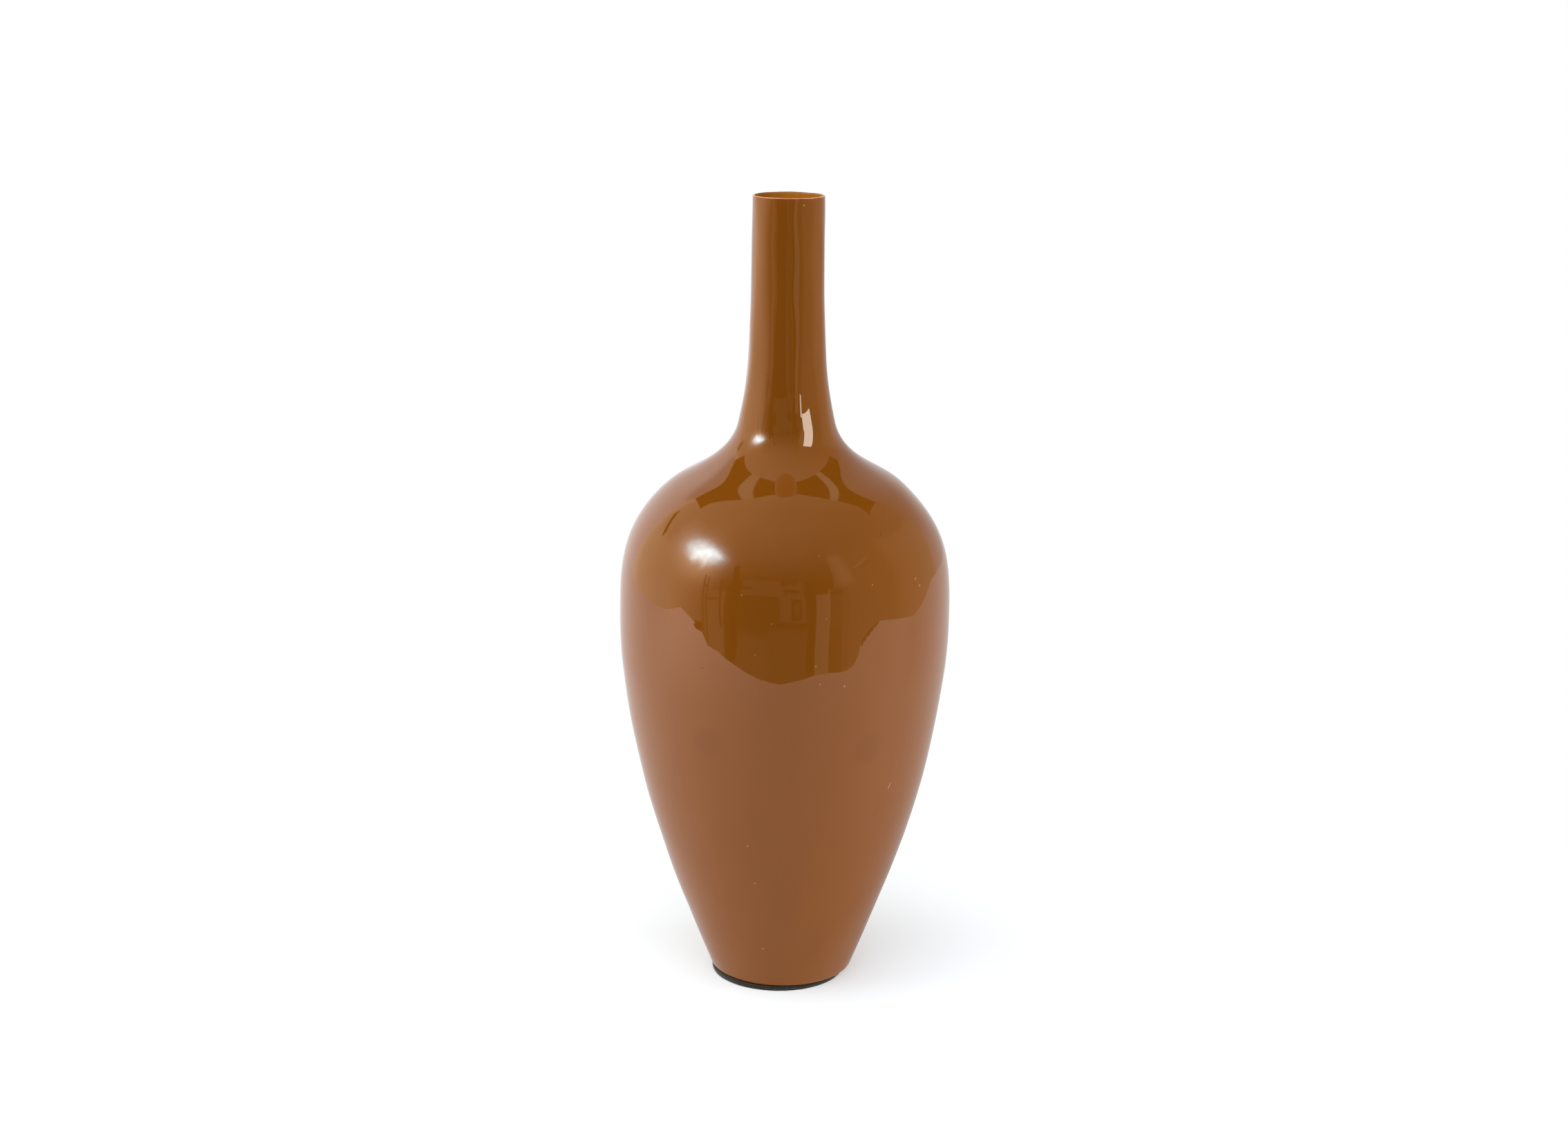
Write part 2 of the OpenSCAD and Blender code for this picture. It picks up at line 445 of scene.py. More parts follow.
def ripples(radius, rng_seed):
    """Rise of the unevenly spaced ripples round a bead, from 0 to 1."""
    rng = random.Random(rng_seed)
    count = round(2 * math.pi * radius / RIPPLE_PITCH)
    drift = sum(rng.uniform(0.1, 0.3) * np.sin(k * THETA + rng.uniform(0, PHASES)) for k in (2, 3, 5))
    saw = (count * THETA + RIPPLE_DRIFT * drift) / (2 * math.pi) % 1.0
    return np.where(saw < RISING, saw / RISING, (1 - saw) / (1 - RISING))


def bead(name, seam, flush, material, node, rng_seed):
    """Weld bead inside a seam, with a rippled ridge, or dressed flush with the neck's bore."""
    into = inward((seam[1] + seam[2]) / 2)
    low = land(seam, 1)[0] + SHEET_T * inward(seam[1])
    if flush:
        high = np.array([BORE_R, seam[0][1] + WELD_GAP / 2])
        curve = np.array([low, (low + high) / 2 + DRESSED_CROWN * into, high])
        rise = np.array([0, DRESSED_RIPPLE, 0])
    else:
        high = land(seam, 2)[0] + SHEET_T * inward(seam[2])
        t = np.linspace(0, 1, 11)[:, None]
        crown = 1 - (2 * t - 1) ** 2
        curve = low + (high - low) * t + crown * CROWN_RISE * into
        rise = RIPPLE_RISE * crown[:, 0]
    line = np.vstack([[low - BEAD_ROOT * into], curve, [high - BEAD_ROOT * into]])[::-1]
    bump = np.r_[0, rise, 0][::-1, None] * ripples(seam[0][0], rng_seed)
    grid = turned(line) + bump[..., None] * turned(into[None])
    back = np.stack([grid[-1], grid[0]])
    mesh = shell_mesh(name, [band(grid), band(back)])
    return piece(mesh, [material], "coated_weld", node)


# Pad and film
# The felt's edge swells a little past the source's pad, most at the front and on the left
FELT_CENTRE = (-1.7, -2.6)
FELT_LOW = 0.01
FELT_HIGH = PAD_T - 0.05
FELT_RINGS = (8.0, 18.0, 27.0, PAD_R - 0.9)
FELT_REACH = PAD_R + 0.45
# Cut edge: mean swell, its two waves and the roughness
FELT_SWELL = 0.1
FELT_WAVES = ((0.12, 2, 0.6), (0.06, 5, 0.0))
FELT_ROUGH = 0.07
RIM_FIBRES = 5200
UNDER_FIBRES = 4200
FIBRE_TAPER = (1.0, 0.9, 0.7, 0.35)
FIBRE_CORNERS = (0.0, 2.094, 4.189)
FILM_WAVES = ((0.12, 4, 0.3), (0.08, 9, 1.1), (0.05, 23, 0.0))


def fibres(rng, starts, ways, length, thick, curl):
    """Points and faces of thin curled felt fibres, each a three-sided tube of four rings."""
    count, rings = len(starts), len(FIBRE_TAPER)
    path, way = [starts], ways
    for _ in range(rings - 1):
        way = unit(way + curl * rng.normal(size=(count, 3)))
        path.append(path[-1] + way * (length / (rings - 1))[:, None])
    path = np.stack(path, 1)
    path[..., 2] = np.clip(path[..., 2], 0.012, PAD_T - 0.02)
    side = unit(np.cross(way, UP + 0.01))
    other = np.cross(way, side)
    points = []
    for i, taper in enumerate(FIBRE_TAPER):
        for turn in FIBRE_CORNERS:
            ring = math.cos(turn) * side + math.sin(turn) * other
            points.append(path[:, i] + thick * taper * ring)
    points = np.stack(points, 1).reshape(-1, 3)
    points[:, 2] = np.clip(points[:, 2], 0.0, PAD_T)
    base = np.arange(count)[:, None] * (rings * 3)
    quads = [base + [i + c, i + d, i + 3 + d, i + 3 + c]
             for i in (0, 3, 6) for c, d in ((0, 1), (1, 2), (2, 0))]
    ends = [base + [2, 1, 0], base + [9, 10, 11]]
    return points, np.vstack(quads).tolist() + np.vstack(ends).tolist()


def swell(grid, start, width, height):
    """Moves the edge of a disc outwards by a height that sets in at a radius, over a width."""
    edge = np.clip((np.hypot(grid[..., 0], grid[..., 1]) - start) / width, 0, 1)
    grid += (edge * height)[..., None] * turned(np.array([[1.0, 0.0]]))


def felt_disc(rng):
    """Points and faces of the felt disc about its own middle, with a soft cut edge."""
    section = [*((r, FELT_LOW) for r in FELT_RINGS), (PAD_R - 0.2, FELT_LOW),
               (PAD_R - 0.05, FELT_LOW + 0.1), (PAD_R + 0.05, FELT_LOW + 0.35),
               (PAD_R + 0.05, PAD_T / 2), (PAD_R, FELT_HIGH - 0.4), (PAD_R - 0.15, FELT_HIGH - 0.12),
               (PAD_R - 0.5, FELT_HIGH), *((r, FELT_HIGH) for r in FELT_RINGS[::-1])]
    grid = turned(np.array(section))
    rough = rng.normal(size=grid.shape[:2])
    rough = (rough + np.roll(rough, 1, 1) + np.roll(rough, -1, 1)) / 3
    swell(grid, PAD_R - 1.2, 0.6, FELT_ROUGH * rough + round_waves(FELT_WAVES) + FELT_SWELL)
    return closed_shell([band(grid)], poles=True)[:2]


def rim_fibres(rng):
    around = rng.uniform(0, 2 * math.pi, RIM_FIBRES)
    out = np.c_[np.cos(around), np.sin(around), np.zeros(RIM_FIBRES)]
    starts = out * (PAD_R - 0.1 + 0.1 * rng.random(RIM_FIBRES))[:, None]
    starts[:, 2] = rng.uniform(0.08, PAD_T - 0.1, RIM_FIBRES)
    lie = np.c_[-out[:, 1], out[:, 0], np.zeros(RIM_FIBRES)] * rng.choice([-1, 1], RIM_FIBRES)[:, None]
    ways = unit(lie + out * rng.uniform(0.02, 0.5, RIM_FIBRES)[:, None] + 0.4 * rng.normal(size=out.shape))
    return fibres(rng, starts, ways, rng.uniform(0.4, 1.3, RIM_FIBRES), thick=0.022, curl=0.35)


def under_fibres(rng):
    spot = np.sqrt(rng.random(UNDER_FIBRES)) * (PAD_R - 0.6)
    around = rng.uniform(0, 2 * math.pi, UNDER_FIBRES)
    starts = np.c_[spot * np.cos(around), spot * np.sin(around), np.full(UNDER_FIBRES, 0.035)]
    ways = unit(np.c_[rng.normal(size=(UNDER_FIBRES, 2)), np.zeros(UNDER_FIBRES)])
    return fibres(rng, starts, ways, rng.uniform(0.8, 2.6, UNDER_FIBRES), thick=0.024, curl=0.25)


def felt_pad(material):
    """Pressed felt disc, and loose fibres on its edge and underside."""
    rng = np.random.default_rng(SEED)
    points, polygons = felt_disc(rng)
    for more, faces in (rim_fibres(rng), under_fibres(rng)):
        polygons += [[i + len(points) for i in f] for f in faces]
        points = np.vstack([points, more])
    reach = np.hypot(points[:, 0], points[:, 1])
    points[:, :2] *= np.minimum(1, FELT_REACH / np.maximum(reach, TINY))[:, None]
    points[:, :2] += FELT_CENTRE
    return piece(plain_mesh("felt_pad", points, polygons), [material], "felt", "foot_pad")


def adhesive_film(material):
    """Film between the bottom and the felt, with an edge that squeezed out unevenly."""
    section = [(8.0, PAD_T), (20.0, PAD_T), (FILM_R - 0.3, PAD_T - 0.02), (FILM_R, PAD_T + 0.08),
               (FILM_R + 0.06, PAD_T + FILM_T / 2), (FILM_R, BASE_Z - 0.06), (FILM_R - 0.3, BASE_Z),
               (20.0, BASE_Z), (8.0, BASE_Z)]
    grid = turned(np.array(section))
    swell(grid, 24.0, 8.0, round_waves(FILM_WAVES))
    grid[..., :2] += PAD_CENTRE
    mesh = shell_mesh("adhesive_film", [band(grid)], poles=True)
    return piece(mesh, [material], "adhesive", "pad_adhesive")


# Materials
def rgb(red, green, blue):
    """Linear colour of a colour given from 0 to 255 as on a screen."""
    part = [v / 255 for v in (red, green, blue)]
    return tuple(v / 12.92 if v <= 0.04045 else ((v + 0.055) / 1.055) ** 2.4 for v in part) + (1.0,)


class Nodes:
    """Short ways to add shader nodes to a tree and join them."""

    def __init__(self, tree):
        self.tree = tree
        tree.nodes.clear()

    def add(self, kind, inputs=None, **settings):
        node = self.tree.nodes.new("ShaderNode" + kind)
        for key, value in settings.items():
            setattr(node, key, value)
        for key, value in (inputs or {}).items():
            if isinstance(value, bpy.types.NodeSocket):
                self.tree.links.new(value, node.inputs[key])
            else:
                node.inputs[key].default_value = value
        return node

    def math(self, operation, a, b=0.0, clamp=False):
        return self.add("Math", {0: a, 1: b}, operation=operation, use_clamp=clamp).outputs[0]

    plus = partialmethod(math, "ADD")
    minus = partialmethod(math, "SUBTRACT")
    times = partialmethod(math, "MULTIPLY")
    over = partialmethod(math, "DIVIDE")

    def decay(self, a):
        """e to the power of -a."""
        return self.math("POWER", math.e, self.times(a, -1.0))

    def bell(self, x, y, centre, reach):
        """Soft round hill, 1 at its centre and 1/e at its reach."""
        u = self.over(self.minus(x, centre[0]), reach[0])
        v = self.over(self.minus(y, centre[1]), reach[1])
        return self.decay(self.plus(self.times(u, u), self.times(v, v)))

    def vector(self, operation, a, b):
        return self.add("VectorMath", {0: a, 1: b}, operation=operation).outputs["Vector"]

    def measure(self, operation, a, b=(0.0, 0.0, 0.0)):
        return self.add("VectorMath", {0: a, 1: b}, operation=operation).outputs["Value"]

    def parts(self, vector):
        return self.add("SeparateXYZ", {0: vector}).outputs[:3]

    def ramp(self, value, low, high, to_low=0.0, to_high=1.0):
        """Smooth step of a value between two limits."""
        node = self.add("MapRange", {"Value": value, "From Min": low, "From Max": high,
                                     "To Min": to_low, "To Max": to_high},
                        interpolation_type="SMOOTHSTEP")
        return node.outputs["Result"]

    def window(self, value, low, high, soft):
        """1 between two limits and 0 outside them, with soft edges."""
        rise = self.ramp(value, low - soft / 2, low + soft / 2)
        return self.times(rise, self.ramp(value, high - soft / 2, high + soft / 2, 1.0, 0.0))

    def mix(self, share, a, b):
        return self.add("Mix", {0: share, 2: a, 3: b}, data_type="FLOAT").outputs[0]

    def blend(self, share, a, b):
        return self.add("Mix", {0: share, 6: a, 7: b}, data_type="RGBA").outputs[2]

    def noise(self, scale, detail=2.0, rough=0.5, stretch=None):
        where = self.vector("MULTIPLY", self.where, stretch) if stretch else self.where
        settings = {"Vector": where, "Scale": scale, "Detail": detail, "Roughness": rough}
        return self.add("TexNoise", settings).outputs["Fac"]

    def bump(self, height, distance, below=None):
        """Normal of a bumpy surface, with the bumps in metres, on top of another such normal."""
        inputs = {"Height": height, "Distance": distance}
        if below:
            inputs["Normal"] = below
        return self.add("Bump", inputs).outputs["Normal"]

    def surface(self, shader):
        """Finishes the material with a shader and returns it."""
        self.add("OutputMaterial", {"Surface": shader.outputs[0]})
        return self.material

    def principled(self, colour, rough, normal, ior=1.5, more=None):
        inputs = {"Base Color": colour, "Roughness": rough, "Normal": normal, "IOR": ior, **(more or {})}
        return self.surface(self.add("BsdfPrincipled", inputs))


def new_material(name):
    """Node helper of a new material, which knows the place on the object in metres."""
    material = bpy.data.materials.new(name)
    material.use_nodes = True
    g = Nodes(material.node_tree)
    g.material = material
    g.where = g.add("TexCoord").outputs["Object"]
    return g


# Colours of the small faults in the coat, and of painted reflections and painted highlights
CREAM = rgb(226, 184, 132)
PAINTED_HIGHLIGHT = rgb(240, 226, 214)
PIT = rgb(38, 20, 8)
SHADE = rgb(112, 60, 10)
# Faults, painted reflections and painted highlights at known places, for each colour: angle round
# the axis from the front, positive to the right, height, radius, share
DOTS = {
    CREAM: [(24.4, 396.6, 0.35, 0.9), (51.2, 221.8, 0.7, 0.3), (53.0, 218.0, 0.8, 0.25),
            (-14.6, 89.3, 0.5, 0.35), (-12.6, 67.5, 0.5, 0.35), (12.0, 177.3, 0.5, 0.3),
            (20.6, 175.3, 0.6, 0.35), (-14.5, 220.0, 0.45, 0.3), (-4.2, 207.1, 0.4, 0.3),
            (-9.5, 191.6, 0.4, 0.25), (10.5, 186.3, 0.45, 0.3), (13.8, 209.4, 0.4, 0.25),
            (31.2, 223.2, 0.45, 0.3), (12.5, 238.1, 0.4, 0.25), (-11.2, 26.9, 0.5, 0.35)],
    PIT: [(-83.7, 249.3, 1.6, 0.8), (-28.0, 182.6, 0.6, 0.5)],
    # Painted reflections of the vase's shadows on the floor: two darker ovals on the lower body
    SHADE: [(-27.8, 144.4, 9.5, 0.4), (31.4, 140.8, 9.5, 0.3)],
    # Painted highlights on the front of the lip
    PAINTED_HIGHLIGHT: [(-26.0, 400.6, 1.1, 0.5), (27.0, 400.6, 1.0, 0.7)],
}
# Where a dot and a scratch start and stop fading, in shares of the radius or the half width
DOT_FADE = (0.35, 1.15)
SCRATCH_FADE = (0.5, 1.3)
# Fine scratches: two ends as angle and height, half width, colour, share
SCRATCHES = [
    ((45.4, 118.0), (44.8, 115.4), 0.18, CREAM, 0.6),
    ((-30.1, 315.4), (-27.7, 303.8), 0.13, PIT, 0.5),
    ((-37.5, 295.1), (-34.8, 286.6), 0.15, PIT, 0.5),
    ((-16.4, 287.0), (-11.9, 281.7), 0.18, PIT, 0.6),
    ((-54.8, 280.8), (-55.8, 277.8), 0.3, PIT, 0.6),
    ((50.0, 254.0), (40.0, 244.0), 0.35, SHADE, 0.5),
    ((40.0, 244.0), (27.5, 236.5), 0.3, SHADE, 0.5),
    ((27.6, 231.9), (31.3, 233.9), 0.3, SHADE, 0.6),
]


def on_wall(angle, height):
    """Place on the outer wall in metres, at an angle from the front and a height."""
    radius = float(np.interp(height, OUTLINE[:, 1], OUTLINE[:, 0]))
    turn = math.radians(angle)
    return tuple(v * MM for v in (radius * math.sin(turn), -radius * math.cos(turn), height))


def speckled(g, colour):
    """Adds sparse cream specks and dark pits in the coat. Returns colour and pit depth."""
    cells = g.add("TexVoronoi", {"Vector": g.where, "Scale": 95.0}, feature="F1")
    dot = g.ramp(cells.outputs["Distance"], 0.012, 0.030, 0.85, 0.0)
    pick = g.add("SeparateColor", {0: cells.outputs["Color"]})
    pale = g.times(dot, g.math("GREATER_THAN", pick.outputs[0], 0.978))
    dark = g.times(dot, g.math("GREATER_THAN", pick.outputs[1], 0.982))
    colour = g.blend(pale, colour, CREAM)
    colour = g.blend(dark, colour, PIT)
    return colour, g.minus(g.times(pale, 0.6), dark)


def marked(g, away, size, fade, colour, tint, share):
    """Colour with a mark of a size in millimetres, from the distance to it."""
    near, far = (part * size * MM for part in fade)
    return g.blend(g.ramp(away, near, far, share, 0.0), colour, tint)


def named_marks(g, colour):
    for tint, dots in DOTS.items():
        for angle, height, radius, share in dots:
            away = g.measure("DISTANCE", g.where, on_wall(angle, height))
            colour = marked(g, away, radius, DOT_FADE, colour, tint, share)
    for start, end, half_width, tint, share in SCRATCHES:
        start, end = Vector(on_wall(*start)), Vector(on_wall(*end))
        way = end - start
        off = g.vector("SUBTRACT", g.where, tuple(start))
        part = g.measure("DOT_PRODUCT", off, tuple(way / way.length_squared))
        part = g.math("ADD", part, 0.0, clamp=True)
        nearest = g.add("VectorMath", {0: tuple(way), "Scale": part}, operation="SCALE").outputs["Vector"]
        away = g.measure("DISTANCE", off, nearest)
        colour = marked(g, away, half_width, SCRATCH_FADE, colour, tint, share)
    return colour


# The coat mirrors warm light more strongly, except at grazing angles
COAT_MIRROR = 0.935
COAT_TINT = (1.0, 0.663, 0.535, 1.0)
# Heights in metres where the coat turns redder, where it turns pale, and of the foot's thin coat
RED_BAND = (LIP_Z - 2.8) * MM
PALE_EDGE = (LIP_Z - 0.7) * MM
INSIDE_EDGE = ((LIP_Z - 1.1) * MM, (LIP_Z - 0.3) * MM)
FOOT_BAND = (BASE_Z * MM, (BASE_Z + 1.6) * MM)
# Depths between which the pale lip, a painted highlight at the front, turns brown, and heights between
# which the neck gets duller
LIP_BACK = (-0.002, 0.010)
NECK_DULL = (0.30, 0.36)


def enamel_material():
    """Glossy brown enamel: slight mottling, orange peel, wipe marks, specks, a worn lip with a painted
    highlight, and painted reflections of shadows.
    """
    g = new_material("enamel_brown")
    _, depth, height = g.parts(g.where)

    colour = g.blend(g.noise(9.0, 3.0), rgb(121, 67, 11), rgb(128, 72, 14))
    colour = g.blend(g.times(g.noise(70.0, 4.0, 0.6), 0.35), colour, rgb(131, 74, 16))
    streak = g.noise(60.0, 3.0, 0.5, stretch=(1.0, 1.0, 0.12))
    colour = g.blend(g.ramp(streak, 0.52, 0.75, 0.0, 0.25), colour, rgb(117, 63, 9))
    colour = g.blend(0.12, colour, rgb(124, 69, 12))
    colour, relief = speckled(g, colour)
    # Faults, with painted reflections of shadows on the lower body and painted highlights on the lip
    colour = named_marks(g, colour)

    # The coat thins towards the cut lip: a redder band, then a pale, patchy edge, which is kept paler at
    # the front as a painted highlight
    patch = g.noise(240.0, 3.0, 0.6)
    band_low = g.plus(g.times(patch, 0.0016), RED_BAND)
    red_share = g.times(g.ramp(g.minus(height, band_low), 0.0, 0.0009), 0.55)
    colour = g.blend(red_share, colour, rgb(140, 66, 34))
    edge_low = g.plus(g.times(patch, 0.0006), PALE_EDGE)
    edge_share = g.ramp(g.minus(height, edge_low), 0.0, 0.00022)
    pale = g.blend(g.ramp(g.noise(150.0, 2.0), 0.42, 0.62), rgb(206, 148, 100), rgb(226, 178, 146))
    # Brown towards the back, so that the pale lip's painted highlight stays at the front
    pale = g.blend(g.ramp(depth, *LIP_BACK), pale, rgb(150, 98, 54))
    colour = g.blend(edge_share, colour, pale)

    # Thin, reddish coat on the foot's corner
    colour = g.blend(g.ramp(height, *FOOT_BAND, 0.6, 0.0), colour, rgb(150, 72, 44))

    rough = g.ramp(g.noise(16.0, 4.0, 0.65), 0.4, 0.8, 0.006, 0.035)
    scratch = g.noise(900.0, 2.0, 0.6, stretch=(1.0, 0.08, 0.35))
    rough = g.plus(rough, g.ramp(scratch, 0.66, 0.78, 0.0, 0.05))
    rough = g.plus(rough, g.ramp(height, *NECK_DULL, 0.0, 0.03))
    rough = g.mix(edge_share, rough, 0.32)

    normal = g.bump(g.noise(130.0, 2.0, 0.4), 0.000004)
    normal = g.bump(g.noise(900.0, 3.0, 0.5), 0.0000016, normal)
    normal = g.bump(relief, 0.00010, normal)
    mirror = {"Specular IOR Level": COAT_MIRROR, "Specular Tint": COAT_TINT}
    return g.principled(colour, rough, normal, more=mirror)


def inside_material():
    """The thinner, more golden coat inside, with sags and a duller surface. Its colours are lightened to
    make up for the shade in the neck: painted light.
    """
    g = new_material("enamel_inside")
    height = g.parts(g.where)[2]
    runs = g.noise(90.0, 3.0, 0.6, stretch=(1.0, 1.0, 0.2))
    colour = g.blend(g.ramp(runs, 0.3, 0.7), rgb(188, 118, 34), rgb(212, 140, 48))
    spots = g.ramp(g.noise(420.0, 3.0, 0.6), 0.5, 0.75, 0.0, 0.35)
    colour = g.blend(spots, colour, rgb(170, 96, 32))
    colour = g.blend(g.ramp(height, *INSIDE_EDGE), colour, rgb(206, 152, 98))
    rough = g.ramp(g.noise(60.0, 3.0), 0.3, 0.7, 0.10, 0.24)
    normal = g.bump(runs, 0.00008)
    normal = g.bump(g.noise(600.0, 3.0, 0.6), 0.00002, normal)
    return g.principled(colour, rough, normal)


def weld_material():
    """Weld bead under the coat: darker and lighter in a fine grain, with dark spatter, duller than the
    sheet.
    """
    g = new_material("coated_weld")
    grain = g.noise(500.0, 4.0, 0.6)
    colour = g.blend(g.ramp(grain, 0.3, 0.7), rgb(104, 58, 14), rgb(142, 84, 26))
    spatter = g.noise(1500.0, 2.0, 0.5)
    colour = g.blend(g.ramp(spatter, 0.62, 0.75, 0.0, 0.6), colour, rgb(70, 38, 12))
    return g.principled(colour, g.ramp(grain, 0.3, 0.7, 0.22, 0.4), g.bump(grain, 0.00008))


def adhesive_material():
    """Black rubbery adhesive with dust caught in its edge. Its near-black also stands for the shadow in
    the gap under the foot: painted shade.
    """
    g = new_material("adhesive_black_gap_shade")
    dust = g.noise(1400.0, 3.0, 0.6)
    colour = g.blend(g.ramp(dust, 0.55, 0.75, 0.0, 0.5), rgb(10, 10, 11), rgb(58, 56, 54))
    normal = g.bump(g.noise(500.0, 3.0), 0.00005)
    return g.principled(colour, g.ramp(dust, 0.4, 0.7, 0.35, 0.7), normal, ior=1.48)


def felt_material():
    """Charcoal felt of mixed fibres, with lint, a soft sheen and a matted surface."""
    g = new_material("felt_charcoal")
    fibre = g.noise(2600.0, 3.0, 0.65)
    matted = g.noise(420.0, 4.0, 0.6)
    colour = g.blend(g.ramp(fibre, 0.35, 0.7), rgb(24, 22, 20), rgb(66, 61, 54))
    colour = g.blend(g.ramp(matted, 0.35, 0.7, 0.0, 0.5), colour, rgb(34, 32, 29))
    lint = g.noise(1100.0, 2.0, 0.4, stretch=(1.0, 0.25, 1.0))
    colour = g.blend(g.ramp(lint, 0.68, 0.76, 0.0, 0.6), colour, rgb(112, 104, 94))
    normal = g.bump(fibre, 0.00006, g.bump(matted, 0.0002))
    sheen = {"Sheen Weight": 0.35, "Sheen Roughness": 0.5}
    return g.principled(colour, g.ramp(fibre, 0.3, 0.7, 0.86, 1.0), normal, ior=1.4, more=sheen)


# Studio
# The room as the coat mirrors it. Azimuth 0 is towards the camera and +90 to the right, in
# degrees, and brightness 1 is the white of the backdrop. The room's own walls are cream.
ROOM_TINT = (1.4, 1.34, 1.0, 1.0)
WHITE = (1.0, 1.0, 1.0, 1.0)
DARK_ROOM = 0.03
# Left wall: brightness, far end and shaded top, and the angles between which they change
LEFT_WALL = 0.84
LEFT_FAR_END = 1.02
LEFT_FAR_EDGE = (-132.0, -122.0)
LEFT_SHADED = 0.66
SHADED_AZIMUTH = (-127.0, -103.0, 9.0)
SHADED_ELEVATION = (24.0, 60.0, 7.0)
LEFT_TO_DARK = (-93.0, -37.0)
# Right wall and the recess beside it, whose edge steps back at a height
RIGHT_WALL = 0.34
RIGHT_WALL_EDGE = (78.0, 92.0)
RIGHT_TOP = (35.5, 39.5)
RIGHT_TOP_SLOPE = 0.33
RIGHT_RECESS = 0.24
RECESS_EDGE = (12.0, 13.5, 45.0, 35.0)
RECESS_SOFT = 0.6
# Backdrop on the left and on the right: brightness, and how it darkens with elevation
BACKDROP = ((1.20, (30.0, 38.0, 1.0, 0.62)), (0.56, (2.0, 26.0, 1.0, 0.64)))
BACKDROP_MIDDLE = 0.75
BACKDROP_EDGE = (128.0, 134.0)
CEILING = 0.42
CEILING_TILT = -0.30
CEILING_EDGE = (38.0, 50.0)
# Over the dark room the ceiling grows from an elevation up, over a reach
FRONT_LOW = 17.0
FRONT_REACH = 50.0
FRONT_LEFT_EDGE = (-85.0, -45.0)
FRONT_RIGHT_EDGE = (34.0, 50.0)
HALO_PLACE = (-69.0, 26.0)
HALO_REACH = (18.0, 13.0)
HALO = 1.5
# Things in the dark room, each painted over those before it: azimuth limits, elevation limits,
# softness of the edges, brightness, and for slanting ones lean (how far the upright edges drift
# to the left for each degree up) and climb (how far the level edges drop for each to the right)
THINGS = [
    # Studio floor, and the wall's panels over a ledge
    (-34, 16, -30, -13, 3.0, 0.15), (-12, 16, -30, -10.5, 2.0, 0.11), (-29, 12, 6, 20, 2.0, 0.16),
    # Left of the dark post: bright gap, two lamp stands and their crossbar
    (-54, -40.5, -30, 8, 2.0, 0.30), (-58.3, -57.2, -16, 18, 0.7, 0.07, 0.10, 0.0),
    (-55.2, -54.2, -16, 18, 0.7, 0.07, 0.10, 0.0), (-58.0, -54.4, 9, 11, 0.8, 0.10, 0.10, 0.0),
    (-44.6, -42.6, -12, 17, 0.8, 0.05, 0.10, 0.0), (-56, -41, 1.4, 3.0, 0.6, 0.11, 0.0, -0.15),
    # Dark post, bent twice, with the shelf at its middle
    (-38.0, -31.3, -10, 12.5, 1.2, 0.02), (-33.6, -28.7, 12, 31, 0.8, 0.0, 0.206, 0.0),
    (-36.0, -31.3, -16, 12.5, 0.8, 0.0), (-28.7, -24.0, -30, -15.5, 0.8, 0.0, -0.51, 0.0),
    (-39, -22, 10.8, 13.6, 1.0, 0.01), (-30, -3, 5.2, 6.4, 0.6, 0.0),
    # Figure in front of the far wall
    (-3.0, 2.5, 16, 20.5, 1.0, 0.01), (3.0, 8.0, 18, 22, 1.0, 0.02), (-2.0, 9.5, 10.5, 13.5, 1.0, 0.0),
    (-5.0, 1.0, 6.5, 8.5, 0.8, 0.0, 0.0, -0.7),
    # Far doorway: pale frame, dark leaf and threshold
    (-4.0, 13.2, -7, 8, 1.4, 0.15), (3.4, 10.4, -6, 5.5, 1.2, 0.0), (5.2, 8.8, -4.5, 3.5, 1.2, 0.09),
    (-6, 14, -9, -7.2, 0.7, 0.0),
    # Pale door between two dark frames
    (15.0, 21.0, -19.8, 19, 1.0, 0.01), (21.0, 31.0, -20.6, 9.4, 0.6, 0.36),
    (24.4, 25.2, -20.6, 9.4, 0.5, 0.28), (30.4, 31.3, -20.6, 13, 0.5, 0.46),
    (31.6, 41.0, -30, 13.0, 0.9, 0.12), (31.6, 41.0, -30, -12.0, 1.5, 0.08),
    (32.0, 41.0, 7.8, 10.6, 0.8, 0.03), (41.0, 44.5, -30, 12.0, 1.5, 0.19),
    (22.0, 30.0, 10.4, 12.4, 0.8, 0.03, 0.0, -0.3),
    # Pale curtain, a slanting rail and a shaded stripe on the right wall
    (44.0, 55.0, 15, 41, 7.0, 0.44, 0.25, 0.0), (53.0, 68.0, 27.5, 28.9, 1.3, 0.40, 0.0, -0.35),
    (73.5, 80.0, -6, 16, 2.0, 0.23),
    # Boom of the left lamp, the cable on the paper's left edge and the shade along its torn edge
    (-125, -114, 25.6, 29.2, 0.8, 0.0, 0.0, 0.8), (-65.0, -57.5, -14.0, -11.0, 0.8, 0.02),
    (56.0, 68.0, -15.4, -13.2, 0.8, 0.02, 0.0, -0.38),
]
# Opening in the ceiling behind the zenith, on a plane one unit above: x limits, y limits,
# softness, brightness. The two bars after it cross it.
OPENING = ((-0.88, 0.95), (0.31, 0.72), 0.02, 0.0)
OPENING_SPLAY = 0.05
BARS = [((-0.345, -0.262), 0.58), ((0.310, 0.385), 0.50)]


def angles(g, x, y, z):
    """Azimuth and elevation of the direction (x, y, z)."""
    azimuth = g.math("DEGREES", g.math("ARCTAN2", x, g.times(y, -1.0)))
    height = g.math("MINIMUM", g.math("MAXIMUM", z, -1.0), 1.0)
    return azimuth, g.math("DEGREES", g.math("ARCSINE", height))


def behind_vase(g, azimuth):
    """1 in directions towards the backdrop, and 0 elsewhere."""
    near, far = BACKDROP_EDGE
    return g.plus(g.ramp(azimuth, near, far), g.ramp(azimuth, -far, -near, 1.0, 0.0))


